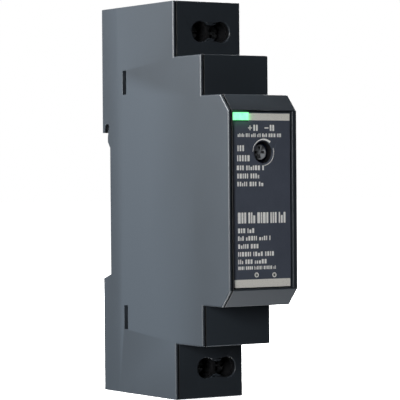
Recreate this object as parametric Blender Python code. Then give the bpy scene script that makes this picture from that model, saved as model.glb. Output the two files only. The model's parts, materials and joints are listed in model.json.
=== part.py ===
"""One-module power supply for a 35 mm top-hat rail, built as separate pieces.

Metres, +Z up. The front faces -Y, the rail is behind at +Y, and the snapped-on cover is at -X.
The origin is the centre of the flat floor that the rail's flanges rest on, at mid-height.
"""

from math import asin, cos, pi, radians, sin, sqrt, tau

import bmesh
import bpy
from mathutils import Matrix, Vector

MM = 0.001

# Clearance that touching pieces keep.
GAP = 0.3 * MM
# How far a cutter runs past the face it cuts.
OVER = 0.5 * MM
# Sides of a round piece, and of one that shows or is large.
ROUND_SIDES = 24
FINE_SIDES = 32
SMALL_SIDES = 16
SHARP_ANGLE = radians(35)
FILLET_STEPS = 4
OPENING_STEPS = 10

# Case, outside. Depths run forwards from the rear plane, heights run inwards from each end.
CASE_WIDTH = 18.0 * MM
CASE_HEIGHT = 90.0 * MM
CASE_DEPTH = 54.5 * MM
TERMINAL_DEPTH = 32.2 * MM
STEP_DEPTH = 43.5 * MM
TERMINAL_SECTION = 12.65 * MM
STEP_SECTION = 9.1 * MM
NOSE_CHAMFER = 3.65 * MM
NOSE_CHAMFER_DEPTH = 3.3 * MM
WALL = 1.3 * MM
SIDE_WALL = 1.2 * MM
NOSE_FRONT_WALL = 1.5 * MM

# Rail and the hook that takes its upper edge.
RAIL_HEIGHT = 35.0 * MM
RAIL_THICKNESS = 1.0 * MM
HOOK_DEPTH = 2.4 * MM
HOOK_LIP_Z = 15.85 * MM
HOOK_PLAY = 0.4 * MM
HOOK_SLANT = 0.35 * MM
RAIL_LAND = 1.2 * MM
RAIL_LAND_TOP = 14.9 * MM
EDGE_RELIEF = 1.15 * MM
RELIEF_RAMP = 1.5 * MM
SHOULDER_DROP = 1.1 * MM

# Side cover.
COVER_RIM = 0.6 * MM
COVER_PLATE = 1.4 * MM
REAR_STRIP = 7.3 * MM
REAR_STRIP_DROP = 0.2 * MM
SNAP_SLOT_DEPTH = 1.6 * MM
SNAP_SLOT_HEIGHT = 5.6 * MM
SNAP_SLOT_FROM_REAR = 9.7 * MM
SNAP_SLOT_FROM_MIDDLE = 27.35 * MM
SNAP_POST_BELOW_FACE = 0.8 * MM

# Label recess in the nose.
LABEL_MARGIN = 1.45 * MM
LABEL_FROM_CHAMFER = 0.35 * MM
LABEL_SETBACK = 0.5 * MM
LABEL_THICKNESS = 0.3 * MM
WINDOW_WIDTH = 4.0 * MM
WINDOW_HEIGHT = 1.75 * MM
WINDOW_PROUD = 0.15 * MM
ADJUSTER_HOLE_RADIUS = 2.45 * MM
ADJUSTER_X = 0.35 * MM
ADJUSTER_FROM_CHAMFER = 9.05 * MM

# Terminals.
POLE_PITCH = 5.4 * MM
# Where a block lies in its spare room: 0 next to the board, 1 next to the right wall.
OUTPUT_BLOCK_PLACE = 0.31
INPUT_BLOCK_PLACE = 1.0
POLE_FROM_END = 6.8 * MM
ACCESS_RADIUS = 2.35 * MM
BRIDGE_HEIGHT = 2.86 * MM
BRIDGE_FILLET = 1.2 * MM
HEAD_RECESS = 4.4 * MM
HEAD_RADIUS = 2.05 * MM
HEAD_THICKNESS = 1.8 * MM
HEAD_CHAMFER = 0.3 * MM
SHANK_RADIUS = 1.2 * MM
DRIVE_SLOT_WIDTH = 0.6 * MM
DRIVE_SLOT_DEPTH = 0.8 * MM
CROSS_REACH = 1.15 * MM
CAPTIVE_WEB = 0.8 * MM
CLAMP_TRAVEL = 2.0 * MM
CAGE_WIDTH = 4.0 * MM
CAGE_LENGTH = 7.8 * MM
CAGE_SHEET = 0.5 * MM
CAGE_NUT = 1.2 * MM
CAGE_FLOOR = 0.8 * MM
CAGE_INSIDE = 5.6 * MM
BAR_THICKNESS = 1.0 * MM
TAIL_WIDTH = 1.0 * MM
TAIL_STEP = 1.6 * MM
BLOCK_WALL = 0.5 * MM
BLOCK_END_WALL = 1.0 * MM
ENTRY_INSET = 0.1 * MM

# Board and film.
FILM_THICKNESS = 0.3 * MM
BOARD_THICKNESS = 1.6 * MM
BOARD_MARGIN = 0.35 * MM
BOARD_FROM_NOSE = 1.7 * MM

# Parts on the input side of the board.
LEAD_THICKNESS = 0.6 * MM
LEAD_LIFT = 0.8 * MM
FUSE_RADIUS = 4.0 * MM
FUSE_HEIGHT = 7.6 * MM
THERMISTOR_RADIUS = 4.2 * MM
THERMISTOR_THICKNESS = 3.2 * MM
THERMISTOR_FROM_BAR = 4.6 * MM
X_CAP = (6.0 * MM, 11.5 * MM, 10.5 * MM)
CHOKE_RADIUS = 4.6 * MM
CHOKE_HEIGHT = 8.4 * MM
CHOKE_WAIST = 1.9 * MM
CHOKE_FLANGE = 1.2 * MM
BRIDGE_BODY = (6.4 * MM, 8.2 * MM, 3.2 * MM)
BRIDGE_FROM_STEP = 2.2 * MM

# Parts in the nose and the middle.
BULK_RADIUS = 5.9 * MM
BULK_LENGTH = 19.5 * MM
BULK_EDGE = 0.35 * MM
BEAD_FROM_TOP = 1.4 * MM
BEAD_SLOPE = 0.4 * MM
BEAD_FLOOR = 0.6 * MM
CHIP_BODY = (6.4 * MM, 9.4 * MM, 3.4 * MM)
CHIP_FROM_STEP = 1.4 * MM
RESISTOR_RADIUS = 1.2 * MM
RESISTOR_LENGTH = 6.6 * MM
CORE_SIZE = (5.6 * MM, 16.0 * MM, 14.0 * MM)
CORE_LEG = 4.4 * MM
CORE_YOKE = 2.1 * MM
CORE_SIDE_LEG = 2.3 * MM
BOBBIN_WALL = 0.5 * MM
BOBBIN_FLANGE = 0.7 * MM
BOBBIN_PROUD = 2.8 * MM
TRANSFORMER_Z = 2.0 * MM

# Parts on the output side of the board.
OUTPUT_CAP_RADIUS = 4.0 * MM
OUTPUT_CAP_HEIGHT = 11.5 * MM
Y_CAP_RADIUS = 3.2 * MM
Y_CAP_THICKNESS = 2.8 * MM
COUPLER_BODY = (6.4 * MM, 4.6 * MM, 3.4 * MM)
RECTIFIER_RADIUS = 2.3 * MM
RECTIFIER_LENGTH = 8.6 * MM
OUTPUT_CHOKE_RADIUS = 3.8 * MM
OUTPUT_CHOKE_HEIGHT = 8.0 * MM
TRIMMER_BODY = 6.4 * MM
TRIMMER_DEPTH = 4.6 * MM
TRIMMER_PIN_BACK = 2.8 * MM
TRIMMER_PIN_FROM_MIDDLE = 2.4 * MM
ROTOR_RADIUS = 1.7 * MM
ROTOR_FROM_LABEL = 1.4 * MM
ROTOR_SEAT = 1.8 * MM
ROTOR_SLOT_REACH = 1.3 * MM
ROTOR_SLOT_DEPTH = 0.4 * MM
LED_BODY = (1.0 * MM, 2.2 * MM, 1.4 * MM)

# Rail latch.
LATCH_WIDTH = 10.0 * MM
LATCH_TONGUE_WIDTH = 7.4 * MM
LATCH_PLATE = 2.3 * MM
LATCH_FROM_REAR = 0.2 * MM
LATCH_POCKET_DEPTH = 4.0 * MM
LATCH_NOSE_REACH = 1.5 * MM
LATCH_NOSE_CHAMFER = 0.8 * MM
LATCH_NOSE_PLAY = 0.2 * MM
LATCH_POCKET_TOP = 17.0 * MM
SPRING_WINDOW_WIDTH = 4.0 * MM
SPRING_WINDOW_LENGTH = 10.0 * MM
SPRING_WINDOW_FROM_END = 7.3 * MM
SPRING_LUG = 2.0 * MM
SPRING_RADIUS = 1.25 * MM
SPRING_WIRE = 0.22 * MM
SPRING_TURNS = 6
SPRING_STEPS = 12
PULL_SLOT_WIDTH = 4.4 * MM
PULL_SLOT_HEIGHT = 1.8 * MM
PULL_SLOT_FROM_END = 1.8 * MM

# Places that follow from the sizes above.
LEFT_X = -CASE_WIDTH / 2
RIGHT_X = CASE_WIDTH / 2
TOP_Z = CASE_HEIGHT / 2
REAR_Y = HOOK_DEPTH
TERMINAL_Y = REAR_Y - TERMINAL_DEPTH
STEP_Y = REAR_Y - STEP_DEPTH
FRONT_Y = REAR_Y - CASE_DEPTH
NOSE_SIDE_Y = FRONT_Y + NOSE_CHAMFER_DEPTH
STEP_Z = TOP_Z - TERMINAL_SECTION
NOSE_Z = STEP_Z - STEP_SECTION
FLAT_Z = NOSE_Z - NOSE_CHAMFER
LABEL_WIDTH = CASE_WIDTH - 2 * LABEL_MARGIN
RAIL_EDGE_Z = RAIL_HEIGHT / 2
INNER_RIGHT_X = RIGHT_X - SIDE_WALL
COVER_INNER_X = LEFT_X + COVER_PLATE
HOUSING_LEFT_X = LEFT_X + COVER_RIM + GAP
FILM_X = COVER_INNER_X + GAP
BOARD_X = FILM_X + FILM_THICKNESS + GAP
BOARD_FACE_X = BOARD_X + BOARD_THICKNESS
PARTS_X = BOARD_FACE_X + GAP
LABEL_Y = FRONT_Y + LABEL_SETBACK
LABEL_FLOOR_Y = LABEL_Y + LABEL_THICKNESS + GAP
NOSE_INSIDE_Y = LABEL_FLOOR_Y + NOSE_FRONT_WALL
POLE_Z = TOP_Z - POLE_FROM_END
POCKET_FLOOR_Y = REAR_Y - LATCH_POCKET_DEPTH
CAVITY_REAR_Y = POCKET_FLOOR_Y - WALL
BLOCK_FRONT_Y = TERMINAL_Y + WALL + GAP
HEAD_Y = TERMINAL_Y + HEAD_RECESS
HEAD_REAR_Y = HEAD_Y + HEAD_THICKNESS
WEB_REAR_Y = HEAD_REAR_Y + GAP + CAPTIVE_WEB
CAGE_Y = WEB_REAR_Y + GAP + CLAMP_TRAVEL
BAR_Y = CAGE_Y + CAGE_NUT + GAP
CAGE_REAR_Y = CAGE_Y + CAGE_NUT + CAGE_INSIDE + CAGE_FLOOR
CHAMBER_REAR_Y = CAGE_REAR_Y + GAP
CHAMBER_WIDTH = CAGE_WIDTH + 2 * GAP
BLOCK_TOP_Z = TOP_Z - WALL - GAP
CAGE_TOP_Z = BLOCK_TOP_Z - BLOCK_END_WALL - GAP
CAGE_BOTTOM_Z = CAGE_TOP_Z - CAGE_LENGTH
BLOCK_BOTTOM_Z = CAGE_BOTTOM_Z - GAP - BLOCK_END_WALL
BAR_TOP_Z = CAGE_TOP_Z + GAP
BOARD_END_Z = TOP_Z - WALL - BOARD_MARGIN
BOARD_FRONT_Y = NOSE_INSIDE_Y + BOARD_FROM_NOSE
INPUT_END_Z = -BLOCK_BOTTOM_Z + 2 * TAIL_STEP + TAIL_WIDTH
TRANSFORMER_Y = CAVITY_REAR_Y - LEAD_LIFT - 2 * Y_CAP_RADIUS - GAP - CORE_SIZE[1] / 2
ADJUSTER_Z = FLAT_Z - ADJUSTER_FROM_CHAMFER
WINDOW_TOP_Z = FLAT_Z - LABEL_FROM_CHAMFER
SPRING_LUG_Z = -TOP_Z + SPRING_WINDOW_FROM_END + 2 * GAP
SPRING_FOOT_Z = SPRING_LUG_Z + SPRING_LUG + GAP
SPRING_HEAD_Z = -TOP_Z + SPRING_WINDOW_FROM_END + SPRING_WINDOW_LENGTH
SPRING_Y = (POCKET_FLOOR_Y + REAR_Y) / 2

BLOCK_HALF_WIDTH = (POLE_PITCH + CHAMBER_WIDTH) / 2 + BLOCK_WALL
BLOCK_ROOM = INNER_RIGHT_X - GAP - PARTS_X - 2 * BLOCK_HALF_WIDTH
OUTPUT_POLES_X = PARTS_X + OUTPUT_BLOCK_PLACE * BLOCK_ROOM + BLOCK_HALF_WIDTH
INPUT_POLES_X = PARTS_X + INPUT_BLOCK_PLACE * BLOCK_ROOM + BLOCK_HALF_WIDTH

# Middle of the two poles, which end of the case they are at, and what each is.
POLES = {
    "output": (OUTPUT_POLES_X, 1, ("positive", "negative")),
    "input": (INPUT_POLES_X, -1, ("neutral", "line")),
}


# ---------------------------------------------------------------- tools


def clear_scene():
    for obj in list(bpy.data.objects):
        bpy.data.objects.remove(obj, do_unlink=True)


def material(name, colour, roughness, metallic=0.0):
    found = bpy.data.materials.get(name)
    if found:
        return found
    made = bpy.data.materials.new(name)
    made.use_nodes = True
    shader = made.node_tree.nodes["Principled BSDF"]
    shader.inputs["Base Color"].default_value = (*colour, 1.0)
    shader.inputs["Roughness"].default_value = roughness
    shader.inputs["Metallic"].default_value = metallic
    return made


def object_from(bm, name):
    bmesh.ops.recalc_face_normals(bm, faces=bm.faces[:])
    mesh = bpy.data.meshes.new(name)
    bm.to_mesh(mesh)
    bm.free()
    obj = bpy.data.objects.new(name, mesh)
    bpy.context.scene.collection.objects.link(obj)
    return obj


def block(name, low, high):
    """A box between two corners."""
    bm = bmesh.new()
    bmesh.ops.create_cube(bm, size=1.0)
    middle = (Vector(low) + Vector(high)) / 2
    size = Vector(high) - Vector(low)
    for vert in bm.verts:
        vert.co = middle + Vector(part * side for part, side in zip(vert.co, size))
    return object_from(bm, name)


def extrusion(name, outline, axis, low, high):
    """A prism: outline points are (y, z) along X, or (x, z) along Y."""
    bm = bmesh.new()
    if axis == "X":
        ring = [bm.verts.new((low, a, b)) for a, b in outline]
        step = Vector((high - low, 0, 0))
    else:
        ring = [bm.verts.new((a, low, b)) for a, b in outline]
        step = Vector((0, high - low, 0))
    face = bm.faces.new(ring)
    raised = bmesh.ops.extrude_face_region(bm, geom=[face])
    moved = [part for part in raised["geom"] if isinstance(part, bmesh.types.BMVert)]
    bmesh.ops.translate(bm, verts=moved, vec=step)
    return object_from(bm, name)


AXIS_TURNS = {
    "X": Matrix.Rotation(pi / 2, 4, "Y"),
    "Y": Matrix.Rotation(-pi / 2, 4, "X"),
    "Z": Matrix.Identity(4),
}


def turned(name, profile, axis, foot, sides=ROUND_SIDES):
    """A turned piece: the profile is (radius, distance from foot), and starts and ends on the axis."""
    bm = bmesh.new()
    rings = []
    for radius, along in profile:
        if radius == 0:
            rings.append([bm.verts.new((0, 0, along))])
            continue
        angles = [tau * i / sides for i in range(sides)]
        rings.append([bm.verts.new((radius * cos(a), radius * sin(a), along)) for a in angles])
    for lower, upper in zip(rings, rings[1:]):
        for i in range(sides):
            j = (i + 1) % sides
            if len(lower) == 1:
                bm.faces.new((lower[0], upper[i], upper[j]))
            elif len(upper) == 1:
                bm.faces.new((lower[i], upper[0], lower[j]))
            else:
                bm.faces.new((lower[i], upper[i], upper[j], lower[j]))
    bmesh.ops.transform(bm, matrix=Matrix.Translation(foot) @ AXIS_TURNS[axis], verts=bm.verts[:])
    obj = object_from(bm, name)
    obj.data.shade_smooth()
    obj.data.set_sharp_from_angle(angle=SHARP_ANGLE)
    return obj


def rod(name, radius, length, axis, foot, sides=ROUND_SIDES):
    return turned(name, [(0, 0), (radius, 0), (radius, length), (0, length)], axis, foot, sides)


def sleeve(name, inner, outer, length, axis, foot, sides=ROUND_SIDES):
    """A plain ring, such as a winding."""
    ring = rod(name, outer, length, axis, foot, sides)
    start = Vector(foot) - AXIS_TURNS[axis] @ Vector((0, 0, OVER))
    return cut(ring, rod("bore", inner, length + 2 * OVER, axis, start, sides))


def combine(obj, other, operation):
    """Applies one Boolean and removes the other object."""
    step = obj.modifiers.new(operation, "BOOLEAN")
    step.operation = operation
    step.solver = "EXACT"
    step.object = other
    bpy.context.view_layer.update()
    graph = bpy.context.evaluated_depsgraph_get()
    result = bpy.data.meshes.new_from_object(obj.evaluated_get(graph))
    obj.modifiers.clear()
    obj.data = result
    bpy.data.objects.remove(other, do_unlink=True)
    return obj


def cut(obj, *others):
    for other in others:
        combine(obj, other, "DIFFERENCE")
    return obj


def join(obj, *others):
    for other in others:
        combine(obj, other, "UNION")
    return obj


def finish(obj, name, made, origin=None):
    """Names the piece, gives it its material, and moves its origin where a joint needs it."""
    obj.name = name
    obj.data.name = name
    obj.data.materials.clear()
    obj.data.materials.append(made)
    if origin is not None:
        obj.data.transform(Matrix.Translation(-Vector(origin)))
        obj.location = origin
    return obj


# ---------------------------------------------------------------- finishes


def case_plastic():
    return material("case_plastic", (0.026, 0.031, 0.036), 0.45)


def label_film():
    return material("label_film", (0.034, 0.048, 0.064), 0.35)


def clear_green():
    return material("clear_green", (0.31, 1.0, 0.53), 0.2)


def black_plastic():
    return material("black_plastic", (0.012, 0.012, 0.013), 0.5)


def steel(name="zinc_steel"):
    return material(name, (0.55, 0.55, 0.53), 0.35, 1.0)


def dark_screw():
    return material("dark_screw_steel", (0.10, 0.10, 0.11), 0.4, 1.0)


def brass():
    return material("tinned_brass", (0.72, 0.66, 0.48), 0.3, 1.0)


def copper():
    return material("enamelled_copper", (0.62, 0.24, 0.09), 0.35, 1.0)


def ferrite():
    return material("ferrite", (0.045, 0.045, 0.048), 0.7)


# ---------------------------------------------------------------- case


def mirrored(points):
    """Points of the upper half followed by the same points below, in the order of a walk round."""
    return points + [(y, -z) for y, z in reversed(points)]


def front_half():
    """The stepped front, from the top rear corner down to the nose's flat."""
    return [
        (REAR_Y, TOP_Z),
        (TERMINAL_Y, TOP_Z),
        (TERMINAL_Y, STEP_Z),
        (STEP_Y, STEP_Z),
        (STEP_Y, NOSE_Z),
        (NOSE_SIDE_Y, NOSE_Z),
        (FRONT_Y, FLAT_Z),
    ]


def rail_side(relief):
    """The rear edge from the lower shoulder up to the hook, with a side plate's edge set back by the relief."""
    groove_rear = RAIL_THICKNESS + HOOK_PLAY
    groove_front = -2 * HOOK_SLANT
    groove_top = RAIL_EDGE_Z + HOOK_PLAY
    points = [
        (REAR_Y, -RAIL_EDGE_Z - SHOULDER_DROP),
        (-relief, -RAIL_EDGE_Z),
    ]
    if relief:
        land_foot = RAIL_LAND_TOP - RAIL_LAND
        points += [(-relief, land_foot - RELIEF_RAMP), (0, land_foot)]
    points += [
        (0, RAIL_LAND_TOP),
        (groove_front, groove_top - HOOK_PLAY),
        (groove_front + HOOK_PLAY, groove_top),
        (groove_rear - HOOK_PLAY, groove_top),
        (groove_rear - HOOK_SLANT / 2, groove_top - HOOK_PLAY),
        (groove_rear + HOOK_SLANT / 2, HOOK_LIP_Z),
        (REAR_Y, HOOK_LIP_Z),
    ]
    return points


def case_outline(relief):
    return mirrored(front_half()) + rail_side(relief)


def cavity_outline(inset):
    """The inside of the walls, inset further by the given distance."""
    thick = WALL + inset
    slope = sqrt((FRONT_Y - NOSE_SIDE_Y) ** 2 + NOSE_CHAMFER**2)
    across = (NOSE_SIDE_Y - FRONT_Y) / slope
    along = NOSE_CHAMFER / slope
    corner_y = NOSE_SIDE_Y + thick * (1 - across) / along
    front_y = NOSE_INSIDE_Y + inset
    front_z = NOSE_Z - thick - (corner_y - front_y) * along / across
    shelf_z = RAIL_EDGE_Z + HOOK_PLAY + thick
    front = [
        (TERMINAL_Y + thick, TOP_Z - thick),
        (TERMINAL_Y + thick, STEP_Z - thick),
        (STEP_Y + thick, STEP_Z - thick),
        (STEP_Y + thick, NOSE_Z - thick),
        (corner_y, NOSE_Z - thick),
        (front_y, front_z),
    ]
    rear_y = CAVITY_REAR_Y - inset
    rear = [
        (rear_y, -TOP_Z + thick),
        (rear_y, shelf_z),
        (REAR_Y - thick, shelf_z),
        (REAR_Y - thick, TOP_Z - thick),
    ]
    return mirrored(front) + rear


def binocular_outline(middle_x, middle_z):
    """Two round openings joined by a lower bridge, with round corners between them."""
    half_pitch = POLE_PITCH / 2
    half_bridge = BRIDGE_HEIGHT / 2
    reach = ACCESS_RADIUS + BRIDGE_FILLET
    rise = half_bridge + BRIDGE_FILLET
    fillet_x = half_pitch - sqrt(reach**2 - rise**2)
    turn = asin(rise / reach)
    quarter = []
    for i in range(FILLET_STEPS + 1):
        angle = pi / 2 - (pi / 2 - turn) * i / FILLET_STEPS
        quarter.append((fillet_x + BRIDGE_FILLET * cos(angle), rise - BRIDGE_FILLET * sin(angle)))
    sweep = pi - turn
    for i in range(1, OPENING_STEPS + 1):
        angle = sweep * (1 - i / OPENING_STEPS)
        quarter.append((half_pitch + ACCESS_RADIUS * cos(angle), ACCESS_RADIUS * sin(angle)))
    lower = [(x, -z) for x, z in reversed(quarter[:-1])]
    right = quarter + lower
    left = [(-x, -z) for x, z in right]
    return [(middle_x + x, middle_z + z) for x, z in right + left]


def pole_places(side):
    """(name, x, sign) of the two poles at one end."""
    middle, sign, names = POLES[side]
    return [
        (names[0], middle - POLE_PITCH / 2, sign),
        (names[1], middle + POLE_PITCH / 2, sign),
    ]


def span(a, b):
    return min(a, b), max(a, b)


def block_between(name, xs, ys, zs):
    (x0, x1), (y0, y1), (z0, z1) = span(*xs), span(*ys), span(*zs)
    return block(name, (x0, y0, z0), (x1, y1, z1))


def snap_places():
    """Middle Y of the snap slots, and their middle heights."""
    return REAR_Y - SNAP_SLOT_FROM_REAR - SNAP_SLOT_DEPTH / 2, (SNAP_SLOT_FROM_MIDDLE, -SNAP_SLOT_FROM_MIDDLE)


def snap_cutter(low_x, high_x, margin):
    """Slots right through a plate, larger than the post by the margin."""
    middle, heights = snap_places()
    half_y = SNAP_SLOT_DEPTH / 2 - GAP + margin
    half_z = SNAP_SLOT_HEIGHT / 2 - GAP + margin
    return [
        block("snap", (low_x, middle - half_y, z - half_z), (high_x, middle + half_y, z + half_z))
        for z in heights
    ]


def window_box():
    """(x, z) corners of the lit window's opening."""
    left = -LABEL_WIDTH / 2
    return left, left + WINDOW_WIDTH, WINDOW_TOP_Z - WINDOW_HEIGHT, WINDOW_TOP_Z


def make_housing():
    housing = extrusion("housing", case_outline(0), "X", HOUSING_LEFT_X, INNER_RIGHT_X + GAP)
    join(housing, extrusion("right_plate", case_outline(EDGE_RELIEF), "X", INNER_RIGHT_X, RIGHT_X))
    cavity = extrusion("cavity", cavity_outline(0), "X", HOUSING_LEFT_X - OVER, INNER_RIGHT_X)
    half_label = LABEL_WIDTH / 2 + GAP
    recess = block_between(
        "label_recess",
        (-half_label, half_label),
        (FRONT_Y - OVER, LABEL_FLOOR_Y),
        (-WINDOW_TOP_Z, WINDOW_TOP_Z + GAP),
    )
    left, right, low, high = window_box()
    window = block_between("window", (left, right), (FRONT_Y, NOSE_INSIDE_Y + OVER), (low, high))
    adjuster = rod(
        "adjuster_hole",
        ADJUSTER_HOLE_RADIUS,
        NOSE_INSIDE_Y - FRONT_Y + 2 * OVER,
        "Y",
        (ADJUSTER_X, FRONT_Y - OVER, ADJUSTER_Z),
        FINE_SIDES,
    )
    cut(housing, cavity, recess, window, adjuster)
    for middle, sign, _ in POLES.values():
        outline = binocular_outline(middle, sign * POLE_Z)
        cut(housing, extrusion("access", outline, "Y", TERMINAL_Y - OVER, TERMINAL_Y + WALL + OVER))
    for side in POLES:
        for _, x, sign in pole_places(side):
            half = CHAMBER_WIDTH / 2 - ENTRY_INSET
            wire = (BAR_Y + BAR_THICKNESS - ENTRY_INSET, CAGE_REAR_Y - CAGE_FLOOR + ENTRY_INSET)
            ends = (sign * (TOP_Z - WALL - OVER), sign * (TOP_Z + OVER))
            cut(housing, block_between("wire_entry", (x - half, x + half), wire, ends))
    add_latch_pocket(housing)
    for post in snap_cutter(LEFT_X + SNAP_POST_BELOW_FACE, INNER_RIGHT_X + GAP, 0):
        join(housing, post)
    return finish(housing, "main_housing", case_plastic())


def add_latch_pocket(housing):
    """A T-shaped slot for the latch, and the lug that its spring pushes on."""
    half = LATCH_WIDTH / 2 + GAP
    half_tongue = LATCH_TONGUE_WIDTH / 2 + GAP
    lip_y = POCKET_FLOOR_Y + GAP + LATCH_PLATE + GAP
    heights = (-TOP_Z - OVER, -LATCH_POCKET_TOP)
    cut(
        housing,
        block_between("pocket", (-half, half), (POCKET_FLOOR_Y, lip_y), heights),
        block_between("pocket_mouth", (-half_tongue, half_tongue), (lip_y - OVER, REAR_Y + OVER), heights),
    )
    half_lug = SPRING_WINDOW_WIDTH / 2 - GAP
    join(
        housing,
        block_between(
            "spring_lug",
            (-half_lug, half_lug),
            (POCKET_FLOOR_Y - OVER, REAR_Y - OVER),
            (SPRING_LUG_Z, SPRING_LUG_Z + SPRING_LUG),
        ),
    )


def make_cover():
    cover = extrusion("cover", case_outline(EDGE_RELIEF), "X", LEFT_X, LEFT_X + COVER_RIM)
    join(cover, extrusion("plate", cavity_outline(GAP), "X", LEFT_X + COVER_RIM / 2, COVER_INNER_X))
    crease_y = REAR_Y - REAR_STRIP
    far_y = REAR_Y + OVER
    drop = REAR_STRIP_DROP * (far_y - crease_y) / REAR_STRIP
    wedge = block("wedge", (LEFT_X - OVER, crease_y, -TOP_Z - OVER), (LEFT_X, far_y, TOP_Z + OVER))
    for vert in wedge.data.vertices:
        if vert.co.x > LEFT_X - OVER / 2 and vert.co.y > crease_y + OVER:
            vert.co.x += drop
    cut(cover, wedge, *snap_cutter(LEFT_X - OVER, COVER_INNER_X + OVER, GAP))
    return finish(cover, "side_cover", case_plastic())


def make_label():
    left, right, low, high = window_box()
    half = LABEL_WIDTH / 2
    bottom = -WINDOW_TOP_Z + GAP
    outline = [
        (-half, bottom),
        (half, bottom),
        (half, high),
        (right + GAP, high),
        (right + GAP, low - GAP),
        (-half, low - GAP),
    ]
    label = extrusion("label", outline, "Y", LABEL_Y, LABEL_Y + LABEL_THICKNESS)
    hole_foot = (ADJUSTER_X, LABEL_Y - OVER, ADJUSTER_Z)
    cut(label, rod("hole", ADJUSTER_HOLE_RADIUS, LABEL_THICKNESS + 2 * OVER, "Y", hole_foot, FINE_SIDES))
    return finish(label, "front_label", label_film())


def make_window():
    """The light pipe runs from the label's face back to just in front of the board."""
    left, right, low, high = window_box()
    pipe = block_between(
        "pipe",
        (left + GAP / 2, right - GAP / 2),
        (LABEL_Y - WINDOW_PROUD, NOSE_INSIDE_Y + GAP),
        (low + GAP / 2, high - GAP / 2),
    )
    return finish(pipe, "led_window", clear_green())


# ---------------------------------------------------------------- terminals


def make_terminal_body(side):
    middle, sign, _ = POLES[side]
    body = block_between(
        "body",
        (middle - BLOCK_HALF_WIDTH, middle + BLOCK_HALF_WIDTH),
        (BLOCK_FRONT_Y, CHAMBER_REAR_Y + BLOCK_END_WALL),
        (sign * BLOCK_BOTTOM_Z, sign * BLOCK_TOP_Z),
    )
    half_chamber = CHAMBER_WIDTH / 2
    half_bar = CAGE_WIDTH / 2 - CAGE_SHEET
    for _, x, sign in pole_places(side):
        chamber = block_between(
            "chamber",
            (x - half_chamber, x + half_chamber),
            (WEB_REAR_Y, CHAMBER_REAR_Y),
            (sign * (CAGE_BOTTOM_Z - GAP), sign * (BLOCK_TOP_Z + OVER)),
        )
        bore_length = HEAD_REAR_Y + GAP - BLOCK_FRONT_Y + OVER
        throat_end = bore_length + CAPTIVE_WEB + OVER
        profile = [
            (0, 0),
            (HEAD_RADIUS + GAP, 0),
            (HEAD_RADIUS + GAP, bore_length),
            (SHANK_RADIUS + GAP, bore_length),
            (SHANK_RADIUS + GAP, throat_end),
            (0, throat_end),
        ]
        tunnel = turned("tunnel", profile, "Y", (x, BLOCK_FRONT_Y - OVER, sign * POLE_Z))
        bar_slot = block_between(
            "bar_slot",
            (x - half_bar, x + half_bar),
            (BAR_Y - GAP, BAR_Y + BAR_THICKNESS + GAP),
            (sign * (BLOCK_BOTTOM_Z - OVER), sign * CAGE_BOTTOM_Z),
        )
        cut(body, chamber, tunnel, bar_slot)
    return finish(body, f"{side}_terminal_body", black_plastic())


def make_screw(side, name, x, sign):
    foot = (x, HEAD_Y, sign * POLE_Z)
    tip = BAR_Y - GAP - HEAD_Y
    edge = HEAD_CHAMFER
    profile = [
        (0, 0),
        (HEAD_RADIUS - edge, 0),
        (HEAD_RADIUS, edge),
        (HEAD_RADIUS, HEAD_THICKNESS),
        (SHANK_RADIUS, HEAD_THICKNESS),
        (SHANK_RADIUS, tip - edge),
        (SHANK_RADIUS - edge, tip),
        (0, tip),
    ]
    screw = turned("screw", profile, "Y", foot, FINE_SIDES)
    half = DRIVE_SLOT_WIDTH / 2
    reach = HEAD_RADIUS + OVER
    depth = (HEAD_Y - OVER, HEAD_Y + DRIVE_SLOT_DEPTH)
    z = sign * POLE_Z
    slot = block_between("slot", (x - reach, x + reach), depth, (z - half, z + half))
    join(slot, block_between("cross", (x - half, x + half), depth, (z - CROSS_REACH, z + CROSS_REACH)))
    cut(screw, slot)
    return finish(screw, f"{side}_screw_{name}", dark_screw(), foot)


def make_cage(side, name, x, sign):
    half = CAGE_WIDTH / 2
    zs = (sign * CAGE_BOTTOM_Z, sign * CAGE_TOP_Z)
    cage = block_between("cage", (x - half, x + half), (CAGE_Y, CAGE_REAR_Y), zs)
    inside = half - CAGE_SHEET
    past = (sign * (CAGE_BOTTOM_Z - OVER), sign * (CAGE_TOP_Z + OVER))
    hollow_y = (CAGE_Y + CAGE_NUT, CAGE_REAR_Y - CAGE_FLOOR)
    hollow = block_between("hollow", (x - inside, x + inside), hollow_y, past)
    thread_foot = (x, CAGE_Y - OVER, sign * POLE_Z)
    thread = rod("thread", SHANK_RADIUS + GAP, CAGE_NUT + 2 * OVER, "Y", thread_foot)
    cut(cage, hollow, thread)
    return finish(cage, f"{side}_cage_{name}", steel(), (x, CAGE_Y, sign * POLE_Z))


def make_bar(side, name, x, sign, tail_z):
    """The bar lies in its cage, leaves the block's inner end and turns towards the board."""
    half = CAGE_WIDTH / 2 - CAGE_SHEET - GAP
    ys = (BAR_Y, BAR_Y + BAR_THICKNESS)
    bar = block_between("bar", (x - half, x + half), ys, (sign * tail_z, sign * BAR_TOP_Z))
    tail = block_between("tail", (PARTS_X, x), ys, (sign * tail_z, sign * (tail_z + TAIL_WIDTH)))
    join(bar, tail)
    return finish(bar, f"{side}_contact_{name}", brass())


def make_terminals():
    for side in POLES:
        make_terminal_body(side)
        tail_z = BLOCK_BOTTOM_Z - GAP - TAIL_WIDTH
        for name, x, sign in pole_places(side):
            make_screw(side, name, x, sign)
            make_cage(side, name, x, sign)
            make_bar(side, name, x, sign, tail_z)
            tail_z -= TAIL_STEP


# ---------------------------------------------------------------- board and what is on it


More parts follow.
